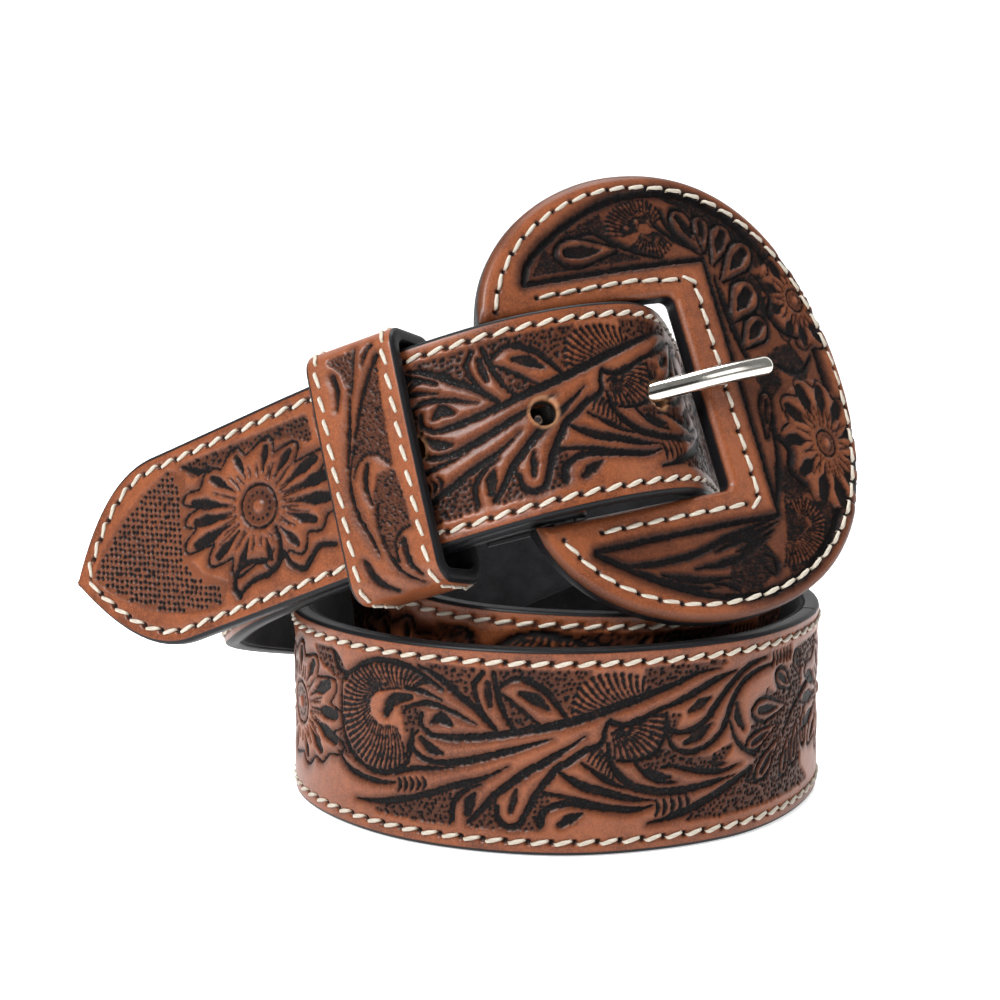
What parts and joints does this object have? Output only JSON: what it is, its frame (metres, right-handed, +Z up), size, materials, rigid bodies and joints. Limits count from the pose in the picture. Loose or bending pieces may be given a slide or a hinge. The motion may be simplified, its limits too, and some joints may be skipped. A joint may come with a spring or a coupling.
{
  "type": "tooled leather belt",
  "caption": "Floral-tooled brown leather belt with a leather-covered D buckle, prong and keeper, fastened and coiled to stand on its edge.",
  "frame": {"origin": "centre of the bounding box at the floor", "axes": "+Z up from the floor the coil stands on, -Y toward the viewer of the buckle, +X to the viewer's right"},
  "size_m": [0.1574, 0.1188, 0.1233],
  "materials": {
    "strap_leather": "semi-gloss, antiqued tooling",
    "lining_suede": "napped suede",
    "buckle_leather": "semi-gloss, antiqued tooling",
    "bar_steel": "plain",
    "prong_nickel": "polished nickel",
    "keeper_leather": "semi-gloss, antiqued tooling"
  },
  "bodies": {
    "root": {"strap": "strap_leather", "strap_lining": "lining_suede", "buckle_cover": "buckle_leather", "buckle_bar": "bar_steel", "prong": "prong_nickel", "keeper": "keeper_leather"}
  },
  "joints": []
}
